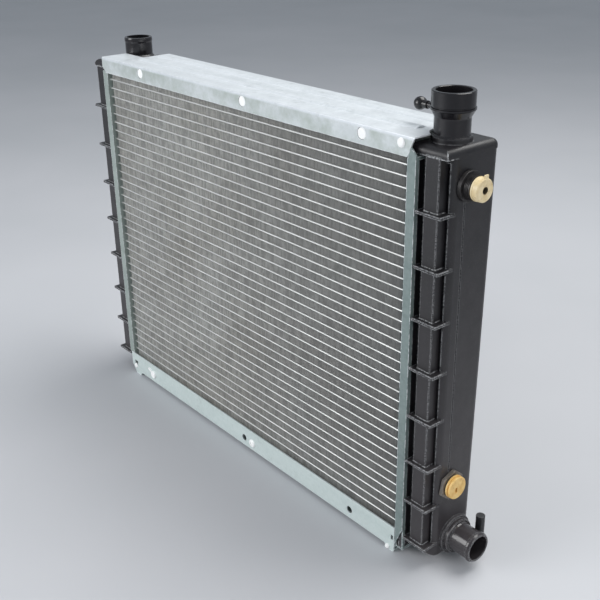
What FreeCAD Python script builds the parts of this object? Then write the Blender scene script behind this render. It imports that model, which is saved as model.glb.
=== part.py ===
import FreeCAD, Part
import math
import os

# Crossflow car radiator: an aluminium tube-and-fin core between two upright
# header trays, a moulded plastic tank crimped on to each header, a galvanised
# channel along the top and the bottom, and an oil cooler inside the outlet tank.
#
# Frame, in millimetres: X runs across the core from the inlet tank (-X) to the
# outlet tank (+X), Y runs from the front face (-Y) to the back, and Z is up.
# Shapes are drawn about the core's middle, X and Y, with the feet at Z 0. save()
# then moves them so that the origin is the middle of the whole object's base.

# ---- driving dimensions -------------------------------------------------
# core
TUBE_COUNT = 36
TUBE_PITCH = 11.1              # flat tube to flat tube, 7/16 in
TUBE_THICK = 2.0
TUBE_WALL = 0.4
ROW_DEPTH = 32.5               # depth of one flat tube
ROW_GAP = 3.6                  # between the front and the rear row
FIRST_TUBE_Z = 38.7
FIN_INSET = 0.4                # fins stand back from the tube noses
FIN_END_GAP = 4.5              # bare tube between fins and header
STRIP_THICK = 1.5

# headers and frame
HALF_WIDTH = 277.75            # centre to the outer edge of a header tray
HALF_DEPTH = 38.0
HEADER_WALL = 1.6
TRAY_DEPTH = 10.6              # how far a header tray reaches along X
LIP_REACH = 4.5                # crimped lip folded over the tank's foot
HEADER_LOW = 8.5
HEADER_HIGH = 437.5
SHEET = 1.5                    # channel sheet thickness
FOOT_DROP = 5.0                # joggled feet below the bottom channel
FOOT_X_MID = 259.0
FOOT_LONG = 12.0
TOP_FACE_Z = 454.7
TOP_FLANGE = 19.2
BOTTOM_FLANGE = 26.4
BEAD_WIDE = 13.0
BEAD_HIGH = 2.0
PLUG_HOLE_R = 6.0
PLUG_HOLE_Z = 445.8
PLUG_HOLE_X = (-185.0, 23.0, 208.0)
LOWER_HOLE_R = 4.3             # open holes of the bottom channel's front flange
LOWER_HOLE_Z = 15.7
LOWER_HOLE_X = (0.0, 196.3)
RIVET_R = 2.1                  # hole for a push rivet
RIVET_HEAD = 2.4               # how far a rivet's head stands out of the flange
TOP_RIVET = (259.6, 447.3)
MIDDLE_RIVET = (16.6, 14.8)
CORNER_RIVET = (-263.8, 12.4)
FOOT_RIVET = (257.4, 3.3)
FOOT_RIVET_R = 1.4
CLIP = (-215.5, 16.6)

# tanks
END_FACE = 309.25              # centre to a tank's end face
TANK_FRONT = -24.0
TANK_BACK_LOW = 31.0           # the back wall leans out towards the top
TANK_BACK_HIGH = 37.5
TANK_LOW = 12.0
WALL = 3.0
FOOT_X = (271.25, 276.15)
CAP_Z = (439.0, 447.5)
CAP_X = (261.25, END_FACE)
CAP_Y = (-32.0, HALF_DEPTH)
CAP_ROUND = 6.0
CAP_CORNER = 7.0
CORNER_ROUND = 8.0             # upright edges of a tank's end
PANEL_X = (284.6, 301.6)
PANEL_FRONT = -33.5
RIB_THICK = 3.0
RIB_Z = (27.0, 75.0, 123.0, 176.0, 229.0, 282.0, 335.0, 388.0)
RIB_FROM_X = 279.0
CHAMBER_TOP = 433.0
BORE_FLOOR = 442.0             # necks open into the chamber above this height

# filler neck (outlet tank) and inlet neck (inlet tank)
FILLER = (284.25, 0.0)
FILLER_TOP = 492.6
FILLER_BORE_R = 16.2
FILLER_SEAT_R = 13.6
FILLER_SEAT_Z = 470.8          # ledge that a pressure cap seals on
NIPPLE_Z = 474.0
NIPPLE_R = 2.8
NIPPLE_END_X = 247.5
BALL_R = 6.2
INLET = (-279.75, 19.0)
INLET_TOP = 473.6
INLET_R = 17.4
INLET_BORE_R = 14.6

# outlet spigot, pointing +X
OUTLET_Y = 7.0
OUTLET_Z = 28.5
OUTLET_END = 343.25
OUTLET_R = 15.8
OUTLET_BORE_R = 13.4

# oil cooler
PORT_Y = -4.0
PORT_HIGH_Z = 412.0
PORT_LOW_Z = 96.0
COOLER_X = 287.0
COOLER_R = 10.0
STUB_R = 12.0
STUB_BORE_R = 7.0
NUT_R = 14.7

# drain tap
DRAIN_Y = 31.0
DRAIN_Z = 17.0
DRAIN_BOSS = 3.5               # boss height on the end face
DRAIN_SEAL = 0.9
LEVER_X = 324.7
LEVER_TOP = 48.0
LEVER_R = 4.9

# middle of the whole object's base, in the frame that the shapes are drawn in
BASE_X = (OUTLET_END - CAP_X[1]) / 2
BASE_Y = -RIVET_HEAD / 2

X_AXIS = FreeCAD.Vector(1, 0, 0)
Y_AXIS = FreeCAD.Vector(0, 1, 0)
Z_AXIS = FreeCAD.Vector(0, 0, 1)
ORIGIN = FreeCAD.Vector(0, 0, 0)


# ---- helpers ------------------------------------------------------------
def vec(x, y, z):
    return FreeCAD.Vector(x, y, z)


def block(x, y, z):
    """A box from three (low, high) pairs."""
    return Part.makeBox(x[1] - x[0], y[1] - y[0], z[1] - z[0], vec(x[0], y[0], z[0]))


def rod_x(y, z, r, x):
    """A cylinder along X at (y, z), from x[0] to x[1]."""
    return Part.makeCylinder(r, x[1] - x[0], vec(x[0], y, z), X_AXIS)


def rod_y(x, z, r, y):
    return Part.makeCylinder(r, y[1] - y[0], vec(x, y[0], z), Y_AXIS)


def rod_z(x, y, r, z):
    return Part.makeCylinder(r, z[1] - z[0], vec(x, y, z[0]), Z_AXIS)


def cone_x(y, z, r0, r1, x):
    return Part.makeCone(r0, r1, x[1] - x[0], vec(x[0], y, z), X_AXIS)


def cone_z(x, y, r0, r1, z):
    return Part.makeCone(r0, r1, z[1] - z[0], vec(x, y, z[0]), Z_AXIS)


def extrude(points, direction):
    """A prism from a closed outline of (x, y, z) points."""
    corners = [vec(*p) for p in points]
    corners.append(corners[0])
    return Part.Face(Part.makePolygon(corners)).extrude(direction)


def join(shapes):
    return shapes[0].fuse(shapes[1:]).removeSplitter()


def lathe(profile, centre, axis_x=False):
    """A solid of revolution from (radius, height) pairs, along Z or along X."""
    points = [vec(r, 0, h) for r, h in profile]
    points.append(points[0])
    solid = Part.Face(Part.makePolygon(points)).revolve(ORIGIN, Z_AXIS, 360)
    if axis_x:
        solid.rotate(ORIGIN, Y_AXIS, 90)
    solid.translate(centre)
    return solid


def fillet_where(solid, radius, keep):
    """Round the edges whose middle point passes a test."""
    edges = [e for e in solid.Edges if keep(e, e.CenterOfMass)]
    return solid.makeFillet(radius, edges)


def mirror_x(shape):
    return shape.mirror(ORIGIN, X_AXIS)


def save(node, *solids):
    shape = solids[0] if len(solids) == 1 else Part.makeCompound(list(solids))
    shape.translate(vec(-BASE_X, -BASE_Y, 0))
    shape.exportStep("parts/" + node + ".step")
    box = shape.BoundBox
    print(node, len(shape.Solids), "solids, valid", shape.isValid(),
          "z %.1f to %.1f" % (box.ZMin, box.ZMax))


# ---- core ---------------------------------------------------------------
def tube_heights():
    return [FIRST_TUBE_Z + TUBE_PITCH * i for i in range(TUBE_COUNT)]


def flat_bar(y_mid, z, depth, thick, x):
    """A bar along X with round front and back noses."""
    half = depth / 2 - thick / 2
    middle = block(x, (y_mid - half, y_mid + half), (z - thick / 2, z + thick / 2))
    noses = [rod_x(y_mid + s * half, z, thick / 2, x) for s in (-1, 1)]
    return join([middle] + noses)


def flat_tube(y_mid, z):
    ends = (-HALF_WIDTH + TRAY_DEPTH - 4, HALF_WIDTH - TRAY_DEPTH + 4)
    outside = flat_bar(y_mid, z, ROW_DEPTH, TUBE_THICK, ends)
    hollow = flat_bar(y_mid, z, ROW_DEPTH - 2 * TUBE_WALL, TUBE_THICK - 2 * TUBE_WALL, ends)
    return outside.cut(hollow)


def row_centres():
    return (-(ROW_DEPTH + ROW_GAP) / 2, (ROW_DEPTH + ROW_GAP) / 2)


def core_half_depth():
    return ROW_DEPTH + ROW_GAP / 2


def tube_row(y_mid):
    return [flat_tube(y_mid, z) for z in tube_heights()]


def fin_packs():
    """One block per fin layer; the corrugated strip fills this envelope."""
    reach = HALF_WIDTH - TRAY_DEPTH - FIN_END_GAP
    depth = core_half_depth() - FIN_INSET
    tall = TUBE_PITCH - TUBE_THICK
    lows = [FIRST_TUBE_Z - TUBE_THICK / 2 - tall + TUBE_PITCH * i for i in range(TUBE_COUNT + 1)]
    return [block((-reach, reach), (-depth, depth), (low, low + tall)) for low in lows]


def core_strip(low):
    reach = HALF_WIDTH - TRAY_DEPTH - 0.6
    depth = core_half_depth() - FIN_INSET
    return block((-reach, reach), (-depth, depth), (low, low + STRIP_THICK))


def fin_stack_limits():
    tall = TUBE_PITCH - TUBE_THICK
    low = FIRST_TUBE_Z - TUBE_THICK / 2 - tall
    return low, low + tall + TUBE_PITCH * TUBE_COUNT


# ---- headers and gaskets ------------------------------------------------
def header():
    """The outlet side's tray: slotted base, walls and a crimped lip."""
    inner = HALF_WIDTH - TRAY_DEPTH
    z = (HEADER_LOW, HEADER_HIGH)
    tray = block((inner, HALF_WIDTH), (-HALF_DEPTH, HALF_DEPTH), z)
    well_y = HALF_DEPTH - HEADER_WALL
    well = block((inner + HEADER_WALL, HALF_WIDTH - HEADER_WALL), (-well_y, well_y),
                 (z[0] + HEADER_WALL, z[1] - HEADER_WALL))
    lip_y = HALF_DEPTH - LIP_REACH
    mouth = block((inner + HEADER_WALL, HALF_WIDTH + 1), (-lip_y, lip_y),
                  (z[0] + LIP_REACH - 1, z[1] - 3.2))
    tray = tray.cut([well, mouth])
    slots = [flat_bar(y, h, ROW_DEPTH + 0.2, TUBE_THICK + 0.2, (inner - 1, inner + 3))
             for y in row_centres() for h in tube_heights()]
    tray = tray.cut(slots)
    return tray


def both_walls(shape):
    """A front-wall feature and its copy in the rear wall."""
    return [shape, shape.mirror(ORIGIN, Y_AXIS)]


def wall_prism(points):
    """A prism through the front wall from an outline of (x, z) points."""
    return extrude([(x, -HALF_DEPTH, z) for x, z in points], vec(0, HEADER_WALL, 0))


def outlet_header():
    """Tray with slanted lower corners and short ears beside the top channel."""
    inner = HALF_WIDTH - TRAY_DEPTH
    slant = wall_prism([(HALF_WIDTH + 1, HEADER_LOW - 1), (HALF_WIDTH + 1, 37),
                        (HALF_WIDTH - 1.5, 33), (HALF_WIDTH - 12, HEADER_LOW - 1)])
    sliver = wall_prism([(inner - 1, 435.2), (inner + 1.2, 435.2), (inner + 1.2, 438), (inner - 1, 438)])
    ear = wall_prism([(inner + 1.2, HEADER_HIGH - 0.5), (inner + 1.2, HEADER_HIGH + 0.4),
                      (inner + 4.5, HEADER_HIGH + 7.6), (HALF_WIDTH, HEADER_HIGH + 1.2),
                      (HALF_WIDTH, HEADER_HIGH - 0.5)])
    return join([header().cut(both_walls(slant) + both_walls(sliver)), ear])


def inlet_header():
    """Tray notched at its corners for the ends of both channels."""
    inner = HALF_WIDTH - TRAY_DEPTH
    low = wall_prism([(inner - 1, 0), (HALF_WIDTH + 1, 0), (HALF_WIDTH + 1, 31.7), (inner - 1, 31.7)])
    high = wall_prism([(inner - 1, 435.2), (inner + 5.6, 435.2), (inner + 5.6, 438), (inner - 1, 438)])
    return mirror_x(header().cut(both_walls(low) + both_walls(high)))


def gasket():
    """Rubber frame squeezed between the header's base and the tank's foot."""
    inner = HALF_WIDTH - TRAY_DEPTH + HEADER_WALL
    x = (inner, FOOT_X[0])
    z = (HEADER_LOW + HEADER_WALL + 0.3, HEADER_HIGH - HEADER_WALL - 0.3)
    y = HALF_DEPTH - HEADER_WALL - 0.3
    ring = block(x, (-y, y), z)
    hole = block((x[0] - 1, x[1] + 1), (-y + 1.6, y - 1.6), (z[0] + 5, z[1] - 4))
    return ring.cut(hole)


# ---- tanks --------------------------------------------------------------
def leaning_block(x, y_front, inset, z):
    """A box whose back face follows the leaning back wall, the inset inside it."""
    lean = (TANK_BACK_HIGH - TANK_BACK_LOW) / (CAP_Z[0] - TANK_LOW)
    back = [TANK_BACK_LOW - inset + lean * (h - TANK_LOW) for h in z]
    outline = [(x[0], y_front, z[0]), (x[0], back[0], z[0]), (x[0], back[1], z[1]), (x[0], y_front, z[1])]
    return extrude(outline, vec(x[1] - x[0], 0, 0))


def tank_body():
    """Upright box; only the part clear of the header leans out at the back."""
    z = (TANK_LOW, CAP_Z[0])
    body = leaning_block((HALF_WIDTH + 0.4, END_FACE), TANK_FRONT, 0, z)
    body = fillet_where(body, CORNER_ROUND, lambda e, c: abs(c.x - END_FACE) < 0.01
                        and abs(c.z - (z[0] + z[1]) / 2) < 1)
    root = block((FOOT_X[0], HALF_WIDTH + 2), (TANK_FRONT, TANK_BACK_LOW), z)
    return join([body, root])


def tank_cap():
    """Lid of the tank: flush with the end face, mitred at the front, round at the rear corner."""
    cap = block(CAP_X, CAP_Y, CAP_Z)
    cap = fillet_where(cap, CAP_CORNER, lambda e, c: abs(c.x - CAP_X[1]) < 0.01
                       and abs(c.y - CAP_Y[1]) < 0.01)
    return fillet_where(cap, CAP_ROUND, lambda e, c: abs(c.z - CAP_Z[1]) < 0.01)


def tank_foot():
    y = HALF_DEPTH - HEADER_WALL - 0.4
    z = (HEADER_LOW + HEADER_WALL + 0.4, HEADER_HIGH - HEADER_WALL - 0.4)
    return block(FOOT_X, (-y, y), z)


def tank_panel():
    panel = block(PANEL_X, (PANEL_FRONT, TANK_FRONT + 1), (RIB_Z[0], CAP_Z[0] + 1))
    return fillet_where(panel, 1.0, lambda e, c: abs(c.y - PANEL_FRONT) < 0.01 and e.Length > 100)


def tank_rib(z):
    rib = block((RIB_FROM_X, END_FACE), (-HALF_DEPTH, TANK_FRONT + 6), (z - RIB_THICK / 2, z + RIB_THICK / 2))
    rib = fillet_where(rib, 1.5, lambda e, c: abs(c.x - END_FACE) < 0.01
                       and abs(c.y + HALF_DEPTH) < 0.01)
    return fillet_where(rib, 0.5, lambda e, c: abs(abs(c.z - z) - RIB_THICK / 2) < 0.01
                        and (c.y < -HALF_DEPTH + 1 or c.x > END_FACE - 1))


def plain_tank():
    """The moulding that both tanks share, seen on the outlet side."""
    shell = join([tank_body(), tank_cap(), tank_foot(), tank_panel()]
                 + [tank_rib(z) for z in RIB_Z])
    chamber_y = (TANK_FRONT + 7, TANK_BACK_LOW - WALL)
    chamber_z = (TANK_LOW + WALL, CHAMBER_TOP)
    chamber = block((FOOT_X[0] - 1, END_FACE - WALL), chamber_y, chamber_z)
    bulge = leaning_block((HALF_WIDTH + 0.4 + WALL, END_FACE - WALL), chamber_y[0], WALL, chamber_z)
    throat = block((HALF_WIDTH + 3.2, END_FACE - WALL), chamber_y, (CHAMBER_TOP - 1, BORE_FLOOR))
    header_room = [block((FOOT_X[0] - 1, HALF_WIDTH + 0.3), (-40, 40), (HEADER_HIGH - 2.0, CAP_Z[0])),
                   block((FOOT_X[1], HALF_WIDTH + 0.3), (-40, 40), (HEADER_HIGH - 3.3, CAP_Z[0]))]
    grooves = [block((PANEL_X[1], PANEL_X[1] + 3.2), (TANK_FRONT - 1, TANK_FRONT + 4),
                     (low + RIB_THICK / 2, high - RIB_THICK / 2))
               for low, high in zip(RIB_Z, RIB_Z[1:] + (CAP_Z[0] - 3,))]
    return shell.cut([chamber, bulge, throat] + header_room + grooves)


def filler_neck():
    top = FILLER_TOP
    profile = [(FILLER_BORE_R, top - 0.6), (FILLER_BORE_R + 0.6, top), (19.2, top), (19.8, top - 0.6),
               (19.8, top - 13.6), (19.2, top - 14.0), (19.2, top - 14.8), (20.6, top - 15.2),
               (20.6, top - 16.8), (20.0, top - 17.4), (16.8, top - 23.2), (16.6, top - 24.2),
               (16.6, 454.2), (17.4, 453.0), (18.2, 452.8), (18.7, 452.0), (18.7, CAP_Z[1] - 1.0),
               (FILLER_SEAT_R, CAP_Z[1] - 1.0), (FILLER_SEAT_R, FILLER_SEAT_Z),
               (FILLER_BORE_R, FILLER_SEAT_Z)]
    return lathe(profile, vec(FILLER[0], FILLER[1], 0))


def nipple():
    """Overflow nipple from the filler neck, above the cap's seat, with a flared root."""
    neck_side = FILLER[0] - 17.2
    tube = rod_x(FILLER[1], NIPPLE_Z, NIPPLE_R, (NIPPLE_END_X, neck_side))
    root = cone_x(FILLER[1], NIPPLE_Z, NIPPLE_R, 3.6, (neck_side - 5.5, neck_side))
    return join([tube, root])


def drain_boss():
    """Boss for the drain tap, thick enough inside to hold its whole bore."""
    return rod_x(DRAIN_Y, DRAIN_Z, 7.0, (END_FACE - 12, END_FACE + DRAIN_BOSS))


def outlet_spigot():
    end = OUTLET_END
    profile = [(0, END_FACE - WALL), (22.0, END_FACE - WALL), (22.0, END_FACE + 2.6),
               (21.2, END_FACE + 3.4), (19.4, END_FACE + 3.4), (19.4, END_FACE + 7.2),
               (18.4, END_FACE + 8.2), (OUTLET_R + 0.5, END_FACE + 8.2), (OUTLET_R, END_FACE + 10),
               (OUTLET_R, end - 5.6), (OUTLET_R + 0.9, end - 4.2), (OUTLET_R + 0.9, end - 2.6),
               (OUTLET_R, end - 0.8), (OUTLET_R - 0.6, end), (0, end)]
    return lathe(profile, vec(0, OUTLET_Y, OUTLET_Z), axis_x=True)


def outlet_tank():
    tank = join([plain_tank(), filler_neck(), nipple(), outlet_spigot(), drain_boss()])
    cuts = [rod_z(FILLER[0], FILLER[1], FILLER_SEAT_R, (BORE_FLOOR, CAP_Z[1] + 2)),
            rod_x(FILLER[1], NIPPLE_Z, 1.6, (NIPPLE_END_X - 1, FILLER[0])),
            rod_x(OUTLET_Y, OUTLET_Z, OUTLET_BORE_R, (END_FACE - 8, OUTLET_END + 1)),
            rod_x(DRAIN_Y, DRAIN_Z, 4.0, (END_FACE - 13, END_FACE + 5)),
            block((END_FACE - 0.7, END_FACE + 1), (PORT_Y - 3.3, PORT_Y - 2.2),
                  (PORT_LOW_Z + 13, PORT_HIGH_Z - 13))]
    cuts += [rod_x(PORT_Y, z, STUB_R + 0.2, (END_FACE - 8, END_FACE + 8))
             for z in (PORT_LOW_Z, PORT_HIGH_Z)]
    return tank.cut(cuts)


def inlet_neck():
    top = INLET_TOP
    r = INLET_R
    profile = [(INLET_BORE_R, CAP_Z[1] - 1), (19.4, CAP_Z[1] - 1), (19.4, CAP_Z[1] + 1.2),
               (18.4, CAP_Z[1] + 3.0), (r, CAP_Z[1] + 4.2), (r, top - 6.5), (r + 0.5, top - 4.5),
               (r + 0.5, top - 1.6), (r - 0.2, top), (INLET_BORE_R, top)]
    neck = lathe(profile, vec(INLET[0], INLET[1], 0))
    limits = block((-320, -240), (-40, CAP_Y[1]), (CAP_Z[0], top + 1))
    return neck.common(limits)


def inlet_shelf():
    """Shelf moulded behind the inlet neck, inside the top channel's notch."""
    shelf = block((-264, -237.0), (4.0, CAP_Y[1]), (441.5, 450.2))
    return fillet_where(shelf, 2.0, lambda e, c: abs(c.z - 450.2) < 0.01)


def inlet_tank():
    tank = join([mirror_x(plain_tank()), inlet_neck(), inlet_shelf()])
    return tank.cut(rod_z(INLET[0], INLET[1], INLET_BORE_R, (BORE_FLOOR, CAP_Z[1] + 3)))


# ---- channels -----------------------------------------------------------
def front_wall():
    """Y span that cuts right through a channel's front flange."""
    return (-HALF_DEPTH - 1, -HALF_DEPTH + 3)


def bead(y, x):
    """A long raised bead pressed up out of the top channel's web."""
    radius = (BEAD_WIDE ** 2 / 4 + BEAD_HIGH ** 2) / (2 * BEAD_HIGH)
    z = TOP_FACE_Z + BEAD_HIGH - radius
    crown = rod_x(y, z, radius, x).cut(rod_x(y, z, radius - SHEET, x))
    keep = block((x[0] - 1, x[1] + 1), (y - BEAD_WIDE, y + BEAD_WIDE),
                 (TOP_FACE_Z - SHEET * 0.6, TOP_FACE_Z + BEAD_HIGH + 1))
    return crown.common(keep)


def bead_slot(y, x):
    half = BEAD_WIDE / 2 - 0.9
    return block(x, (y - half, y + half), (TOP_FACE_Z - SHEET - 1, TOP_FACE_Z + 1))


def top_channel():
    left = -HALF_WIDTH
    right = 275.25
    low = TOP_FACE_Z - TOP_FLANGE
    web_z = (TOP_FACE_Z - SHEET, TOP_FACE_Z)
    web = block((left, right), (-HALF_DEPTH, HALF_DEPTH), web_z)
    outline = [(left, -HALF_DEPTH, TOP_FACE_Z), (right, -HALF_DEPTH, TOP_FACE_Z),
               (right - 8.2, -HALF_DEPTH, low), (left + 7.5, -HALF_DEPTH, low),
               (left, -HALF_DEPTH, low + 7.5)]
    front = extrude(outline, vec(0, SHEET, 0))
    back = front.mirror(ORIGIN, Y_AXIS)
    channel = join([web, front, back])
    channel = fillet_where(channel, 1.2, lambda e, c: abs(abs(c.y) - HALF_DEPTH) < 0.01
                           and abs(c.z - TOP_FACE_Z) < 0.01)
    beads = ((-9.0, (-225.0, 255.0)), (20.0, (-225.0, 252.0)))
    channel = channel.cut([bead_slot(y, x) for y, x in beads])
    channel = join([channel] + [bead(y, x) for y, x in beads])
    notches = [rod_z(*FILLER, 20.0, (low - 1, TOP_FACE_Z + 5)),
               block((CAP_X[0] - 0.4, 300), (12, 60), (low - 1, TOP_FACE_Z + 5)),
               block((-300, -235.5), (-2, 60), (low - 1, TOP_FACE_Z + 5))]
    holes = [rod_y(x, PLUG_HOLE_Z, PLUG_HOLE_R, front_wall()) for x in PLUG_HOLE_X]
    holes.append(rod_y(*TOP_RIVET, RIVET_R, front_wall()))
    return channel.cut(notches + holes)


def bottom_channel():
    left = -HALF_WIDTH + 3
    right = 266.5
    z0 = FOOT_DROP
    web = block((left + 8, right - 1.0), (-HALF_DEPTH, HALF_DEPTH), (z0, z0 + SHEET))
    outline = [(left, -HALF_DEPTH, z0 + BOTTOM_FLANGE), (right, -HALF_DEPTH, z0 + BOTTOM_FLANGE),
               (right, -HALF_DEPTH, 1.4), (right - 1.4, -HALF_DEPTH, 0), (right - 12, -HALF_DEPTH, 0),
               (right - 14, -HALF_DEPTH, z0), (left + 24, -HALF_DEPTH, z0), (left + 22, -HALF_DEPTH, 0),
               (left + 10, -HALF_DEPTH, 0), (left + 8, -HALF_DEPTH, 2.0), (left, -HALF_DEPTH, z0 + 9)]
    front = extrude(outline, vec(0, SHEET, 0))
    back = front.mirror(ORIGIN, Y_AXIS)
    half = FOOT_LONG / 2
    feet = [block((x - half, x + half), (-HALF_DEPTH, HALF_DEPTH), (0, SHEET))
            for x in (-FOOT_X_MID, FOOT_X_MID)]
    channel = join([web, front, back] + feet)
    holes = [rod_y(x, LOWER_HOLE_Z, LOWER_HOLE_R, front_wall()) for x in LOWER_HOLE_X]
    holes += [rod_y(*spot, RIVET_R, front_wall()) for spot in (CORNER_RIVET, MIDDLE_RIVET, CLIP)]
    holes.append(rod_y(*FOOT_RIVET, FOOT_RIVET_R, front_wall()))
    holes.append(block((-267.6, -259.6), front_wall(), (13.8, 20.4)))
    holes.append(block((261.6, 264.8), front_wall(), (14.6, 20.5)))
    return channel.cut(holes)


def on_flange(piece, x, z):
    """Turns a piece drawn along +Z to point out of the front flange, and puts it there."""
    piece.rotate(ORIGIN, X_AXIS, 90)
    piece.translate(vec(x, -HALF_DEPTH, z))
    return piece


def rivet_shank(hole_r):
    """Shank and barbed tip behind a push rivet's head."""
    return [rod_z(0, 0, hole_r - 0.1, (-4.5, 0.1)), cone_z(0, 0, hole_r - 0.8, hole_r + 0.3, (-6.0, -3.4))]


def push_rivet(spot, head_r, hole_r=RIVET_R, dimple_r=0):
    """White nylon push rivet: a domed head, which may have a round dimple."""
    head = lathe([(0, 0), (head_r, 0), (head_r, 0.7), (head_r * 0.75, RIVET_HEAD - 0.5), (0, RIVET_HEAD)],
                 ORIGIN)
    rivet = join([head] + rivet_shank(hole_r))
    if dimple_r:
        rivet = rivet.cut(rod_z(0, 0, dimple_r, (0.9, RIVET_HEAD + 1)))
    return on_flange(rivet, *spot)


def tab_clip():
    """White nylon clip: a round head with a thin tab that points up and outward."""
    head = lathe([(0, 0), (5.4, 0), (5.4, 1.4), (4.6, RIVET_HEAD), (0, RIVET_HEAD)], ORIGIN)
    tab = block((-14.0, 0), (-1.3, 1.3), (0, 1.5))
    tab = fillet_where(tab, 1.0, lambda e, c: abs(c.x + 14.0) < 0.01 and abs(c.z - 0.75) < 0.01)
    tab.rotate(ORIGIN, Z_AXIS, -26)
    return on_flange(join([head, tab] + rivet_shank(RIVET_R)), *CLIP)


def flange_plug(x):
    """White nylon blanking plug pressed into a hole of the top flange."""
    profile = [(0, -2.6), (PLUG_HOLE_R - 0.9, -2.6), (PLUG_HOLE_R - 0.3, -2.0), (PLUG_HOLE_R - 0.3, -0.4),
               (PLUG_HOLE_R - 0.7, 0.1), (0, 0.5)]
    plug = lathe(profile, ORIGIN)
    plug.rotate(ORIGIN, X_AXIS, 90)
    plug.translate(vec(x, -HALF_DEPTH + 0.4, PLUG_HOLE_Z))
    return plug


# ---- oil cooler and its ports -------------------------------------------
def port_stub(z, inner_x, reach):
    """Threaded fitting through the tank wall, with a flange inside it."""
    x0 = END_FACE - WALL
    stub = rod_x(PORT_Y, z, STUB_R, (x0 - 0.2, reach))
    flange = rod_x(PORT_Y, z, STUB_R + 0.9, (x0 - 2.4, x0))
    neck = rod_x(PORT_Y, z, 8.6, (inner_x, x0 - 2.0))
    fitting = join([stub, flange, neck])
    threads = []
    x = END_FACE + 4.9
    while x < reach - 1.6:
        ring = rod_x(PORT_Y, z, STUB_R + 1, (x, x + 0.7)).cut(rod_x(PORT_Y, z, STUB_R - 0.7, (x, x + 0.7)))
        threads.append(ring)
        x += 1.5
    bore = rod_x(PORT_Y, z, STUB_BORE_R, (inner_x - 1, reach + 1))
    return fitting.cut(threads + [bore])


def cooler_tube(r_out, r_in, z):
    return rod_z(COOLER_X, PORT_Y, r_out, z).cut(rod_z(COOLER_X, PORT_Y, r_in, (z[0] - 1, z[1] + 1)))


def cooler_outer():
    """Outer jacket, with a domed end and a port hole facing each fitting."""
    z = (PORT_LOW_Z - 14, PORT_HIGH_Z + 14)
    jacket = cooler_tube(COOLER_R, COOLER_R - 1.0, z)
    ends = [cooler_tube(COOLER_R - 1.0, 6.3, (e, e + 1.5)) for e in (z[0], z[1] - 1.5)]
    jacket = join([jacket] + ends)
    ports = [rod_x(PORT_Y, h, STUB_BORE_R - 1, (COOLER_X, COOLER_X + 20)) for h in (PORT_LOW_Z, PORT_HIGH_Z)]
    return jacket.cut(ports)


def cooler_inner():
    return cooler_tube(6.2, 5.4, (PORT_LOW_Z - 16, PORT_HIGH_Z + 16))


def port_neck_start():
    """Where a fitting's inner neck meets the cooler jacket."""
    return COOLER_X + COOLER_R + 0.1


def round_nut(z):
    x = (END_FACE + 0.7, END_FACE + 4.3)
    nut = rod_x(PORT_Y, z, NUT_R, x)
    nut = fillet_where(nut, 0.6, lambda e, c: abs(c.x - x[1]) < 0.01)
    return nut.cut(rod_x(PORT_Y, z, STUB_R + 0.05, (x[0] - 1, x[1] + 1)))


def hex_nut(z):
    x = (END_FACE + 0.7, END_FACE + 4.3)
    corner = 17.0
    points = [(x[0], PORT_Y + corner * math.cos(math.radians(60 * i + 20)),
               z + corner * math.sin(math.radians(60 * i + 20))) for i in range(6)]
    nut = extrude(points, vec(x[1] - x[0], 0, 0))
    crown = cone_x(PORT_Y, z, corner + 2.0, corner - 1.6, x)
    return nut.common(crown).cut(rod_x(PORT_Y, z, STUB_R + 0.05, (x[0] - 1, x[1] + 1)))


def port_seal(z):
    """Rubber washer between the tank's end face and the nut."""
    x = (END_FACE, END_FACE + 0.7)
    return rod_x(PORT_Y, z, 14.2, x).cut(rod_x(PORT_Y, z, STUB_R + 0.25, (x[0] - 1, x[1] + 1)))


def upper_plug(seat):
    """Transit bung for the upper port: ribbed head, pull tab and hollow shank."""
    profile = [(3.3, seat - 9), (STUB_BORE_R - 0.5, seat - 9), (STUB_BORE_R - 0.15, seat - 8),
               (STUB_BORE_R - 0.15, seat + 0.3), (11.2, seat + 0.3), (11.4, seat + 0.9),
               (11.4, seat + 2.2), (10.9, seat + 2.5), (10.9, seat + 3.4), (11.2, seat + 3.7),
               (11.0, seat + 7.4), (10.2, seat + 8.2), (3.3, seat + 8.2)]
    plug = lathe(profile, vec(0, PORT_Y, PORT_HIGH_Z), axis_x=True)
    tab = block((seat + 6.2, seat + 7.8), (PORT_Y - 0.5, PORT_Y + 4.0),
                (PORT_HIGH_Z + 9.5, PORT_HIGH_Z + 13.6))
    return join([plug, tab.cut(rod_x(PORT_Y, PORT_HIGH_Z, STUB_BORE_R, (seat, seat + 9)))])


def lower_plug(seat):
    """Transit bung for the lower port: a flange, a groove and a slotted disc."""
    profile = [(0, seat - 7), (STUB_BORE_R - 0.5, seat - 7), (STUB_BORE_R - 0.15, seat - 6),
               (STUB_BORE_R - 0.15, seat + 0.3), (12.6, seat + 0.3), (12.6, seat + 2.0),
               (11.0, seat + 2.4), (11.0, seat + 3.6), (12.3, seat + 4.0), (12.3, seat + 5.4),
               (11.7, seat + 6.0), (0, seat + 6.0)]
    plug = lathe(profile, vec(0, PORT_Y, PORT_LOW_Z), axis_x=True)
    slot = block((seat + 3.4, seat + 7), (PORT_Y - 3.4, PORT_Y - 0.6), (PORT_LOW_Z - 4.5, PORT_LOW_Z + 1.5))
    return plug.cut(slot)


# ---- overflow cap and drain tap -----------------------------------------
def overflow_cap():
    """Rubber ball cap pushed on to the overflow nipple."""
    ball_x = NIPPLE_END_X - 2.5
    ball = Part.makeSphere(BALL_R, vec(ball_x, FILLER[1], NIPPLE_Z))
    sleeve = cone_x(FILLER[1], NIPPLE_Z, 4.2, 3.7, (ball_x, NIPPLE_END_X + 7.0))
    cap = join([ball, sleeve])
    return cap.cut(rod_x(FILLER[1], NIPPLE_Z, NIPPLE_R + 0.06, (NIPPLE_END_X - 0.4, NIPPLE_END_X + 9)))


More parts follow.
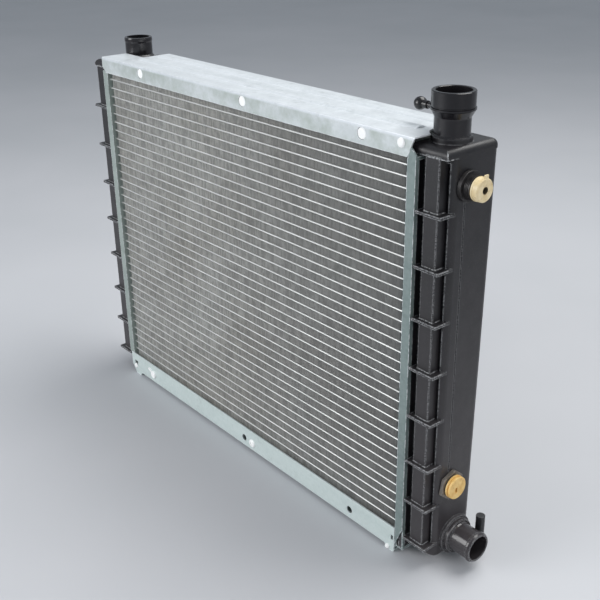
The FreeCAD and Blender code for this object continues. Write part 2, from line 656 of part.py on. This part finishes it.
def drain_body():
    x0 = END_FACE + DRAIN_BOSS + DRAIN_SEAL
    end = LEVER_X - 6.3
    shank = rod_x(DRAIN_Y, DRAIN_Z, 3.9, (END_FACE - 8, x0))
    corner = 6.9
    points = [(x0, DRAIN_Y + corner * math.cos(math.radians(60 * i)),
               DRAIN_Z + corner * math.sin(math.radians(60 * i))) for i in range(6)]
    flange = extrude(points, vec(2.0, 0, 0))
    barrel = rod_x(DRAIN_Y, DRAIN_Z, 5.8, (x0, end))
    spout = rod_z(end - 2.4, DRAIN_Y, 2.0, (5.0, DRAIN_Z))
    body = join([shank, flange, barrel, spout])
    bore = rod_x(DRAIN_Y, DRAIN_Z, 2.55, (END_FACE - 9, end + 1))
    drip = rod_z(end - 2.4, DRAIN_Y, 1.1, (4.0, DRAIN_Z))
    return body.cut([bore, drip])


def drain_lever():
    """Turning plug of the drain tap: stem, hub and one upright lever arm."""
    end = LEVER_X - 6.3
    stem = rod_x(DRAIN_Y, DRAIN_Z, 2.5, (END_FACE - 2, LEVER_X))
    hub = rod_x(DRAIN_Y, DRAIN_Z, 6.0, (end + 0.4, LEVER_X + 5.4))
    hub = fillet_where(hub, 0.8, lambda e, c: abs(c.x - LEVER_X - 5.4) < 0.01)
    arm = rod_z(LEVER_X, DRAIN_Y, LEVER_R, (DRAIN_Z, LEVER_TOP))
    arm = fillet_where(arm, 0.7, lambda e, c: abs(c.z - LEVER_TOP) < 0.01)
    lever = join([stem, hub, arm])
    cross = rod_z(LEVER_X - 9.5, DRAIN_Y, 1.3, (DRAIN_Z - 6, DRAIN_Z + 6))
    return lever.cut(cross)


def drain_seal():
    """Rubber washer between the drain tap's flange and its boss."""
    x = (END_FACE + DRAIN_BOSS, END_FACE + DRAIN_BOSS + DRAIN_SEAL)
    return rod_x(DRAIN_Y, DRAIN_Z, 6.4, x).cut(rod_x(DRAIN_Y, DRAIN_Z, 4.1, (x[0] - 1, x[1] + 1)))


# ---- build --------------------------------------------------------------
def main():
    os.makedirs("parts", exist_ok=True)
    front_y, rear_y = row_centres()
    save("front_tube_row", *tube_row(front_y))
    save("rear_tube_row", *tube_row(rear_y))
    save("fin_packs", *fin_packs())
    stack_low, stack_high = fin_stack_limits()
    save("upper_core_strip", core_strip(stack_high))
    save("lower_core_strip", core_strip(stack_low - STRIP_THICK))
    save("outlet_header", outlet_header())
    save("inlet_header", inlet_header())
    save("outlet_tank_gasket", gasket())
    save("inlet_tank_gasket", mirror_x(gasket()))
    save("outlet_tank", outlet_tank())
    save("inlet_tank", inlet_tank())
    save("top_channel", top_channel())
    save("bottom_channel", bottom_channel())
    save("top_flange_plugs", *[flange_plug(x) for x in PLUG_HOLE_X])
    save("flange_rivets", push_rivet(TOP_RIVET, 4.6), push_rivet(CORNER_RIVET, 3.7),
         push_rivet(MIDDLE_RIVET, 5.4, dimple_r=2.4), push_rivet(FOOT_RIVET, 2.9, hole_r=FOOT_RIVET_R))
    save("flange_tab_clip", tab_clip())
    upper_seat = END_FACE + 11.6
    lower_seat = END_FACE + 5.2
    inner = port_neck_start()
    save("upper_cooler_fitting", port_stub(PORT_HIGH_Z, inner, upper_seat))
    save("lower_cooler_fitting", port_stub(PORT_LOW_Z, inner, lower_seat))
    save("cooler_outer_tube", cooler_outer())
    save("cooler_inner_tube", cooler_inner())
    save("upper_port_nut", round_nut(PORT_HIGH_Z))
    save("lower_port_nut", hex_nut(PORT_LOW_Z))
    save("upper_port_seal", port_seal(PORT_HIGH_Z))
    save("lower_port_seal", port_seal(PORT_LOW_Z))
    save("upper_port_plug", upper_plug(upper_seat))
    save("lower_port_plug", lower_plug(lower_seat))
    save("overflow_cap", overflow_cap())
    save("drain_tap_body", drain_body())
    save("drain_tap_lever", drain_lever())
    save("drain_tap_seal", drain_seal())


main()
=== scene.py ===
import math

import bmesh
import bpy
from mathutils import Matrix, Vector


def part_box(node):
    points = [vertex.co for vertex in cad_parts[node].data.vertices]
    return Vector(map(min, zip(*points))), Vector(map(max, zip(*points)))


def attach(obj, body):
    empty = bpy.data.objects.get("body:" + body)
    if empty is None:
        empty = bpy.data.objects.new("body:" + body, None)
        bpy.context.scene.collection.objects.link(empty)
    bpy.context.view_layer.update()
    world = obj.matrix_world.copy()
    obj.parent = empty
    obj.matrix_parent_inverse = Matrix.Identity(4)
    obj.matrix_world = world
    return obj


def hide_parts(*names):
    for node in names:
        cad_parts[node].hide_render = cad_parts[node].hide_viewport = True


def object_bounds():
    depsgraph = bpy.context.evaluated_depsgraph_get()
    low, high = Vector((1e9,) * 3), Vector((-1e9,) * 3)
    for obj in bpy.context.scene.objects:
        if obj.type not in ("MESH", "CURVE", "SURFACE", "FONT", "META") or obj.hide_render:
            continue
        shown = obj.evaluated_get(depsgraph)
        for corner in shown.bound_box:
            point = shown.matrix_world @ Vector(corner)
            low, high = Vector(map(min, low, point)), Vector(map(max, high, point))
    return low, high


# Looks of a crossflow car radiator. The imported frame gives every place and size;
# this file adds the corrugated fins, the finishes, the floor, the light and the camera.

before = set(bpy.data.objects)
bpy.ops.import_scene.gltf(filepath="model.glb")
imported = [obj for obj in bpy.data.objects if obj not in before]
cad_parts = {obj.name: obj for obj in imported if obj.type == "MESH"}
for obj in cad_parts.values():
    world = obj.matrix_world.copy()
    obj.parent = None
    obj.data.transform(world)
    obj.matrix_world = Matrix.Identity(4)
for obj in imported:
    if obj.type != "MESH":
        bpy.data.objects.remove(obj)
cad_low, cad_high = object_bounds()

# ---- sizes, in metres ---------------------------------------------------
MM = 0.001
FIN_LAYERS = 37
TUBE_THICK = 2.0 * MM
FIN_SHEET = 0.1 * MM           # thickness of the fin strip
FIN_LEG_PITCH = 2.1 * MM       # one leg of the strip to the next, 12 per inch
CROWN_FLAT = 0.55 * MM         # half of the flat part of a crown
CROWN_ROUND = 0.35 * MM

# Where a finish or a painted shade changes on one moulding or sheet: it fades from the first
# place to the second.
TANK_PALER_LOW = (360 * MM, 40 * MM)             # the tanks turn lighter and browner towards the bottom
NECK_FOOT = (449 * MM, 454 * MM)       # necks rise out of the tank's lid
TANK_FRONT = (-21.5 * MM, -23.5 * MM)  # ribs and panel stand in front of this
SPIGOT_ROOT = (294.5 * MM, 297 * MM)   # the outlet spigot stands out of the end face
SPIGOT_TOP = (56 * MM, 50 * MM)
FIN_SHADE_SPAN = (-80 * MM, 260 * MM)        # painted shade: the fins darken towards the outlet end
PLATE_FOOT = 452.5 * MM                # the top channel's flanges hang below its plate
BUNG_BORE = 3.3 * MM                   # radius of the upper bung's bore, which is painted dark as shade

# ---- camera and floor ---------------------------------------------------
CAMERA_AT = (0.8100, -0.6212, 0.6637)
CAMERA_SENSOR = 36.0                   # mm
CAMERA_LENS = 56.26                    # mm
CAMERA_TURN = 50.614                   # degrees about Z
CAMERA_DOWN = 24.406                   # degrees below level
CAMERA_ROLL = -0.906                   # degrees
FLOOR_HALF = 12                        # metres from the middle to an edge


def linear(r, g, b):
    """A colour given as 0 to 255 screen values, as the shader wants it."""
    def one(v):
        v = v / 255
        return v / 12.92 if v <= 0.04045 else ((v + 0.055) / 1.055) ** 2.4
    return (one(r), one(g), one(b), 1.0)


# ---- material building blocks -------------------------------------------
class Finish:
    """One material under construction: a principled shader and helpers that feed it."""

    def __init__(self, name, metallic=0.0, roughness=0.5, specular=0.5):
        self.material = bpy.data.materials.new(name)
        self.material.use_nodes = True
        self.tree = self.material.node_tree
        self.shader = next(n for n in self.tree.nodes if n.type == "BSDF_PRINCIPLED")
        self.shader.inputs["Metallic"].default_value = metallic
        self.shader.inputs["Roughness"].default_value = roughness
        self.shader.inputs["Specular IOR Level"].default_value = specular
        self.place = self.node("ShaderNodeTexCoord").outputs["Object"]

    def node(self, kind, **settings):
        """A new shader node with its settings applied."""
        made = self.tree.nodes.new(kind)
        for key, value in settings.items():
            setattr(made, key, value)
        return made

    def link(self, out, into):
        self.tree.links.new(out, into)

    def stretched(self, scale):
        """Object coordinates, scaled by a different amount along each axis."""
        mapping = self.node("ShaderNodeMapping")
        mapping.inputs["Scale"].default_value = scale
        self.link(self.place, mapping.inputs["Vector"])
        return mapping.outputs["Vector"]

    def noise(self, scale, detail=4.0, rough=0.55, stretch=None):
        """Soft noise from 0 to 1 over the piece."""
        made = self.node("ShaderNodeTexNoise")
        made.inputs["Scale"].default_value = scale
        made.inputs["Detail"].default_value = detail
        made.inputs["Roughness"].default_value = rough
        self.link(self.stretched(stretch) if stretch else self.place, made.inputs["Vector"])
        return made.outputs["Fac"]

    def cells(self, scale, stretch=None):
        """One shade of grey for each crystal-like cell."""
        made = self.node("ShaderNodeTexVoronoi")
        made.inputs["Scale"].default_value = scale
        self.link(self.stretched(stretch) if stretch else self.place, made.inputs["Vector"])
        gray = self.node("ShaderNodeRGBToBW")
        self.link(made.outputs["Color"], gray.inputs["Color"])
        return gray.outputs["Val"]

    def ramp(self, value, low, high, to_low=0.0, to_high=1.0):
        """The value stretched from low..high to to_low..to_high, and held at the ends."""
        made = self.node("ShaderNodeMapRange")
        made.inputs["From Min"].default_value = low
        made.inputs["From Max"].default_value = high
        made.inputs["To Min"].default_value = to_low
        made.inputs["To Max"].default_value = to_high
        self.link(value, made.inputs["Value"])
        return made.outputs["Result"]

    def maths(self, operation, a, b):
        made = self.node("ShaderNodeMath", operation=operation)
        for socket, value in zip(made.inputs, (a, b)):
            if isinstance(value, (int, float)):
                socket.default_value = value
            else:
                self.link(value, socket)
        return made.outputs["Value"]

    def times(self, a, b):
        """The product of two values."""
        return self.maths("MULTIPLY", a, b)

    def mix(self, factor, first, second):
        """The first colour where the factor is 0, the second where it is 1."""
        made = self.node("ShaderNodeMix", data_type="RGBA")
        self.link(factor, made.inputs["Factor"])
        for socket, value in ((made.inputs[6], first), (made.inputs[7], second)):
            if isinstance(value, tuple):
                socket.default_value = value
            else:
                self.link(value, socket)
        return made.outputs[2]

    def axis(self, name):
        """One object coordinate, in metres."""
        made = self.node("ShaderNodeSeparateXYZ")
        self.link(self.place, made.inputs["Vector"])
        return made.outputs[name]

    def worn_edges(self, radius, speckle):
        """High on sharp outer edges, broken up into specks."""
        bevel = self.node("ShaderNodeBevel", samples=6)
        bevel.inputs["Radius"].default_value = radius
        geometry = self.node("ShaderNodeNewGeometry")
        dot = self.node("ShaderNodeVectorMath", operation="DOT_PRODUCT")
        self.link(bevel.outputs["Normal"], dot.inputs[0])
        self.link(geometry.outputs["Normal"], dot.inputs[1])
        edge = self.ramp(dot.outputs["Value"], 0.995, 0.93)
        return self.times(edge, self.ramp(self.noise(speckle, 3), 0.40, 0.56))

    def colour(self, value):
        if isinstance(value, tuple):
            self.shader.inputs["Base Color"].default_value = value
        else:
            self.link(value, self.shader.inputs["Base Color"])

    def roughness(self, value):
        self.link(value, self.shader.inputs["Roughness"])

    def bump(self, height, distance, strength=0.5):
        made = self.node("ShaderNodeBump")
        made.inputs["Strength"].default_value = strength
        made.inputs["Distance"].default_value = distance
        self.link(height, made.inputs["Height"])
        self.link(made.outputs["Normal"], self.shader.inputs["Normal"])


# ---- finishes -----------------------------------------------------------
def galvanised(name, base, bright, smudge, roughness, metallic=0.3, shade_below=0.0):
    """Zinc-coated sheet: faint spangle, drawn streaks and darker handling smudges; below a given
    height, painted shade on the hanging flanges.
    """
    f = Finish(name, metallic=metallic, roughness=roughness)
    spangle = f.ramp(f.cells(300), 0.1, 0.9, 0.15, 0.5)
    sheet = f.mix(spangle, base, bright)
    streak = f.ramp(f.noise(7, 4, stretch=(0.6, 9, 9)), 0.35, 0.7)
    sheet = f.mix(f.times(streak, 0.5), sheet, bright)
    mark = f.ramp(f.noise(34, 7, 0.7), 0.58, 0.76)
    sheet = f.mix(f.times(mark, 0.42), sheet, smudge)
    # painted shade darkens the flanges below this height towards grey-green; the handling noise
    # makes it patchy
    if shade_below:
        low = f.ramp(f.axis("Z"), shade_below, shade_below - 2 * MM)
        handled = f.ramp(f.noise(48, 6, 0.65), 0.36, 0.66, 0.25, 0.8)
        sheet = f.mix(f.times(low, handled), sheet, linear(168, 178, 170))
    rub = f.worn_edges(1.1 * MM, 260)
    f.colour(f.mix(rub, sheet, linear(240, 244, 246)))
    f.roughness(f.ramp(f.noise(60, 5), 0.3, 0.7, roughness - 0.07, roughness + 0.1))
    f.bump(f.noise(700, 3), 0.00003, 0.3)
    return f.material


def drawn_aluminium(name, base, bright, roughness):
    """Bare aluminium with fine lines along the length and a little oxide."""
    f = Finish(name, metallic=0.75, roughness=roughness)
    lines = f.ramp(f.noise(120, 3, stretch=(0.15, 4, 4)), 0.3, 0.7)
    metal = f.mix(lines, base, bright)
    oxide = f.ramp(f.noise(45, 6), 0.55, 0.75)
    f.colour(f.mix(f.times(oxide, 0.35), metal, base))
    f.roughness(f.ramp(f.noise(200, 3), 0.3, 0.7, roughness - 0.08, roughness + 0.1))
    f.bump(f.noise(900, 2), 0.00003, 0.3)
    return f.material


def fin_strip():
    """Fin stock: satin aluminium, with legs in uneven shades and louvres pressed across."""
    f = Finish("fin_strip", metallic=0.1, roughness=0.5)
    patch = f.ramp(f.noise(9, 4), 0.35, 0.68)
    metal = f.mix(patch, linear(230, 228, 223), linear(244, 244, 241))
    legs = f.ramp(f.noise(640, 1, stretch=(1, 0.02, 0.10)), 0.40, 0.62)
    metal = f.mix(f.times(legs, 0.42), metal, linear(150, 149, 146))
    # painted shade: the fin colour turns darker grey towards the outlet end
    near_end_shade = f.ramp(f.axis("X"), *FIN_SHADE_SPAN)
    metal = f.mix(f.times(near_end_shade, 0.6), metal, linear(150, 151, 152))
    dust = f.ramp(f.noise(420, 3), 0.4, 0.65)
    f.colour(f.mix(f.times(dust, 0.2), metal, linear(196, 193, 186)))
    f.roughness(f.ramp(f.noise(300, 2), 0.3, 0.7, 0.42, 0.6))
    louvre = f.node("ShaderNodeTexWave", wave_type="BANDS", bands_direction="Y")
    louvre.inputs["Scale"].default_value = 310
    f.link(f.place, louvre.inputs["Vector"])
    f.bump(louvre.outputs["Fac"], 0.0002, 0.6)
    return f.material


def moulded_nylon():
    """Glass-filled nylon: mottled black, scuffed ribs, necks polished by handling."""
    f = Finish("moulded_nylon", roughness=0.42, specular=0.5)
    height = f.axis("Z")
    cloud = f.ramp(f.noise(22, 5), 0.3, 0.7)
    body = f.mix(cloud, linear(20, 20, 23), linear(34, 32, 35))
    paler_low = f.ramp(height, *TANK_PALER_LOW)
    body = f.mix(f.times(paler_low, 0.55), body, linear(70, 66, 68))
    fibre = f.ramp(f.noise(1500, 2), 0.66, 0.72)
    neck = f.ramp(height, *NECK_FOOT)
    skin = f.maths("SUBTRACT", 1.0, neck)
    fibre = f.times(f.times(fibre, 0.45), skin)
    body = f.mix(fibre, body, linear(120, 120, 122))
    ribs = f.ramp(f.axis("Y"), *TANK_FRONT)
    scuff = f.times(f.worn_edges(2.0 * MM, 620), f.ramp(ribs, 0, 1, 0.3, 1.0))
    scuff = f.times(scuff, skin)
    f.colour(f.mix(scuff, body, linear(196, 198, 200)))
    spout = f.times(f.ramp(f.axis("X"), *SPIGOT_ROOT), f.ramp(height, *SPIGOT_TOP))
    handled = f.maths("MAXIMUM", neck, spout)
    plain = f.ramp(f.noise(90, 4), 0.3, 0.7, 0.34, 0.48)
    f.roughness(f.maths("SUBTRACT", plain, f.times(handled, 0.22)))
    f.bump(f.noise(520, 4), 0.00005, 0.35)
    return f.material


def moulded_plastic(name, base, light, grime, roughness, scale=160, bore=None):
    """Small moulded parts: slight colour drift, grime in patches, soft skin.

    A bore is (y, z, radius): within that radius, about an axis along X, painted shade turns the
    colour dark brown down the hole.
    """
    f = Finish(name, roughness=roughness, specular=0.5)
    body = f.mix(f.ramp(f.noise(scale, 4), 0.3, 0.7), base, light)
    dirt = f.ramp(f.noise(scale * 2.2, 6), 0.58, 0.72)
    body = f.mix(f.times(dirt, 0.45), body, grime)
    if bore:
        y, z, radius = bore
        across = f.maths("SUBTRACT", f.axis("Y"), y)
        up = f.maths("SUBTRACT", f.axis("Z"), z)
        reach = f.maths("POWER", f.maths("ADD", f.times(across, across), f.times(up, up)), 0.5)
        # painted shade down the bore
        bore_shade = f.ramp(reach, radius * 1.12, radius * 0.98)
        body = f.mix(bore_shade, body, linear(24, 17, 12))
    f.colour(body)
    f.roughness(f.ramp(f.noise(400, 3), 0.3, 0.7, roughness - 0.06, roughness + 0.1))
    f.bump(f.noise(1100, 2), 0.00003, 0.3)
    return f.material


def turned_metal(name, base, light, roughness, metallic):
    """Turned or plated steel and brass, with fine tool rings about its length."""
    f = Finish(name, metallic=metallic, roughness=roughness)
    rings = f.ramp(f.noise(900, 2, stretch=(3, 0.4, 0.4)), 0.3, 0.7)
    f.colour(f.mix(rings, base, light))
    f.roughness(f.ramp(f.noise(260, 4), 0.3, 0.7, roughness - 0.08, roughness + 0.12))
    f.bump(f.noise(1000, 2, stretch=(3, 0.5, 0.5)), 0.00004, 0.4)
    return f.material


def dress(material, *nodes):
    """Gives CAD nodes a finish. Their meshes are left alone."""
    for name in nodes:
        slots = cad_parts[name].data.materials
        slots.clear()
        slots.append(material)


def finish_cad_nodes():
    """Gives every CAD node except the fins its finish."""
    zinc_top = galvanised("zinc_top", linear(204, 211, 214), linear(234, 238, 243),
                          linear(150, 158, 154), 0.36, shade_below=PLATE_FOOT)
    zinc_low = galvanised("zinc_low", linear(198, 212, 209), linear(222, 232, 230),
                          linear(148, 160, 155), 0.42)
    zinc_tray = galvanised("zinc_tray", linear(138, 150, 145), linear(166, 176, 171),
                           linear(96, 106, 102), 0.44)
    # painted shade: the outlet header gets a darker copy of the header zinc
    zinc_tray_shaded = galvanised("zinc_tray_shaded", linear(112, 126, 125), linear(142, 155, 153),
                           linear(74, 86, 84), 0.46)
    dress(zinc_top, "top_channel")
    dress(zinc_low, "bottom_channel")
    dress(zinc_tray, "inlet_header")
    dress(zinc_tray_shaded, "outlet_header")
    tube = drawn_aluminium("tube_aluminium", linear(196, 197, 195), linear(226, 227, 225), 0.40)
    dress(tube, "front_tube_row", "rear_tube_row", "upper_core_strip", "lower_core_strip")
    dress(moulded_nylon(), "outlet_tank", "inlet_tank")
    white = moulded_plastic("white_nylon", linear(250, 251, 250), linear(255, 255, 254),
                            linear(228, 227, 220), 0.34)
    dress(white, "top_flange_plugs", "flange_rivets", "flange_tab_clip")
    upper_low, upper_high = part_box("upper_cooler_fitting")
    middle = (upper_low + upper_high) / 2
    dress(moulded_plastic("cream_bung", linear(214, 192, 146), linear(234, 218, 180),
                          linear(170, 140, 92), 0.36, bore=(middle.y, middle.z, BUNG_BORE)),
          "upper_port_plug")
    dress(moulded_plastic("yellow_bung", linear(222, 176, 96), linear(238, 204, 134),
                          linear(150, 112, 60), 0.40), "lower_port_plug")
    dress(moulded_plastic("tap_nylon", linear(30, 30, 33), linear(46, 46, 49),
                          linear(84, 84, 84), 0.36), "drain_tap_body", "drain_tap_lever")
    dress(moulded_plastic("seal_rubber", linear(20, 20, 21), linear(30, 30, 31),
                          linear(56, 55, 53), 0.62), "outlet_tank_gasket", "inlet_tank_gasket",
          "upper_port_seal", "lower_port_seal", "drain_tap_seal")
    dress(moulded_plastic("cap_rubber", linear(20, 19, 21), linear(29, 28, 31),
                          linear(52, 50, 50), 0.22), "overflow_cap")
    dress(turned_metal("black_fitting", linear(34, 33, 34), linear(58, 56, 56), 0.40, 0.35),
          "upper_cooler_fitting", "lower_cooler_fitting", "upper_port_nut")
    dress(turned_metal("plated_nut", linear(104, 98, 92), linear(146, 140, 132), 0.42, 0.6),
          "lower_port_nut")
    dress(turned_metal("cooler_brass", linear(176, 140, 78), linear(208, 172, 104), 0.34, 0.9),
          "cooler_outer_tube", "cooler_inner_tube")


# ---- corrugated fins ----------------------------------------------------
def wave_line(tall):
    """One whole wave of the strip: up a leg, over the crown and down the next leg."""
    top = tall / 2 - FIN_SHEET / 2
    shoulder = CROWN_FLAT + CROWN_ROUND * 0.7
    rise = [(0, -top), (CROWN_FLAT, -top), (shoulder, CROWN_ROUND - top),
            (FIN_LEG_PITCH - shoulder, top - CROWN_ROUND), (FIN_LEG_PITCH - CROWN_FLAT, top)]
    fall = [(2 * FIN_LEG_PITCH - x, z) for x, z in reversed(rise)]
    return rise + [(FIN_LEG_PITCH, top)] + fall


def fin_layer_mesh(low, high):
    """One closed corrugated strip that fills the box from low to high."""
    tall = high.z - low.z
    waves = int((high.x - low.x) / (2 * FIN_LEG_PITCH))
    start = (low.x + high.x) / 2 - waves * FIN_LEG_PITCH
    shape = bmesh.new()
    line = [shape.verts.new((start + x, low.y, low.z + tall / 2 + z)) for x, z in wave_line(tall)]
    edges = [shape.edges.new(pair) for pair in zip(line, line[1:])]
    made = bmesh.ops.extrude_edge_only(shape, edges=edges)
    moved = [g for g in made["geom"] if isinstance(g, bmesh.types.BMVert)]
    bmesh.ops.translate(shape, verts=moved, vec=(0, high.y - low.y, 0))
    wave = shape.verts[:] + shape.edges[:] + shape.faces[:]
    for i in range(1, waves):
        copy = bmesh.ops.duplicate(shape, geom=wave)["geom"]
        moved = [g for g in copy if isinstance(g, bmesh.types.BMVert)]
        bmesh.ops.translate(shape, verts=moved, vec=(2 * FIN_LEG_PITCH * i, 0, 0))
    bmesh.ops.remove_doubles(shape, verts=shape.verts[:], dist=1e-6)
    bmesh.ops.recalc_face_normals(shape, faces=shape.faces[:])
    bmesh.ops.solidify(shape, geom=shape.faces[:], thickness=FIN_SHEET)
    bmesh.ops.recalc_face_normals(shape, faces=shape.faces[:])
    # solidify grows to one side, so the strip is moved back to the middle of its box
    heights = [v.co.z for v in shape.verts]
    drift = (min(heights) + max(heights)) / 2 - (low.z + high.z) / 2
    bmesh.ops.translate(shape, verts=shape.verts[:], vec=(0, 0, -drift))
    mesh = bpy.data.meshes.new("fin_layer")
    shape.to_mesh(mesh)
    shape.free()
    return mesh


def corrugated_fins():
    """Puts one corrugated strip between each two tube rows, in place of the CAD blocks."""
    low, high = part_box("fin_packs")
    tall = (high.z - low.z - (FIN_LAYERS - 1) * TUBE_THICK) / FIN_LAYERS
    pitch = tall + TUBE_THICK
    first = fin_layer_mesh(low, Vector((high.x, high.y, low.z + tall)))
    finish = fin_strip()
    for i in range(FIN_LAYERS):
        mesh = first.copy()
        mesh.transform(Matrix.Translation((0, 0, pitch * i)))
        mesh.materials.append(finish)
        layer = bpy.data.objects.new("fin_layer_%02d" % (i + 1), mesh)
        bpy.context.scene.collection.objects.link(layer)
        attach(layer, "radiator")
        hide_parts("fin_packs")


# ---- floor, light and camera --------------------------------------------
def floor():
    """A plain painted floor that runs out past the edge of the view."""
    shape = bmesh.new()
    bmesh.ops.create_grid(shape, x_segments=1, y_segments=1, size=FLOOR_HALF)
    mesh = bpy.data.meshes.new("floor")
    shape.to_mesh(mesh)
    shape.free()
    made = bpy.data.objects.new("floor", mesh)
    bpy.context.scene.collection.objects.link(made)
    f = Finish("floor_paint", roughness=0.62, specular=0.3)
    cloud = f.ramp(f.noise(1.6, 3), 0.3, 0.7)
    f.colour(f.mix(cloud, linear(190, 192, 196), linear(198, 199, 203)))
    mesh.materials.append(f.material)


def softbox(name, at, aim, size, power, tint):
    """A rectangular area light at one place, turned to face another."""
    lamp = bpy.data.lights.new(name, "AREA")
    lamp.shape = "RECTANGLE"
    lamp.size, lamp.size_y = size
    lamp.energy = power
    lamp.color = tint
    made = bpy.data.objects.new(name, lamp)
    made.location = at
    made.rotation_euler = (Vector(aim) - Vector(at)).to_track_quat("-Z", "Y").to_euler()
    bpy.context.scene.collection.objects.link(made)


def studio():
    """Three soft lights and a pale room."""
    middle = (cad_low + cad_high) / 2
    softbox("key", (0.35, 0.75, 1.9), middle, (1.6, 1.2), 34, (1.0, 0.99, 0.97))
    softbox("fill", (-0.9, -2.3, 1.1), middle, (1.6, 1.4), 44, (1.0, 1.0, 1.0))
    softbox("side", (2.1, -0.2, 1.1), middle, (0.9, 1.4), 9, (1.0, 0.97, 0.95))
    world = bpy.data.worlds.new("room")
    bpy.context.scene.world = world
    world.use_nodes = True
    background = next(n for n in world.node_tree.nodes if n.type == "BACKGROUND")
    background.inputs["Color"].default_value = linear(206, 214, 222)
    background.inputs["Strength"].default_value = 0.55
    bpy.context.scene.view_settings.view_transform = "Standard"


def camera():
    """Stands in front of the outlet end, a little above the top plate."""
    lens = bpy.data.cameras.new("camera")
    lens.sensor_width = CAMERA_SENSOR
    lens.lens = CAMERA_LENS
    lens.clip_start = 0.01
    made = bpy.data.objects.new("camera", lens)
    turn = Matrix.Rotation(math.radians(CAMERA_TURN), 4, "Z")
    tilt = Matrix.Rotation(math.radians(90 - CAMERA_DOWN), 4, "X")
    roll = Matrix.Rotation(math.radians(CAMERA_ROLL), 4, "Z")
    made.matrix_world = Matrix.Translation(CAMERA_AT) @ turn @ tilt @ roll
    bpy.context.scene.collection.objects.link(made)
    bpy.context.scene.camera = made


camera()
studio()
floor()
finish_cad_nodes()
corrugated_fins()
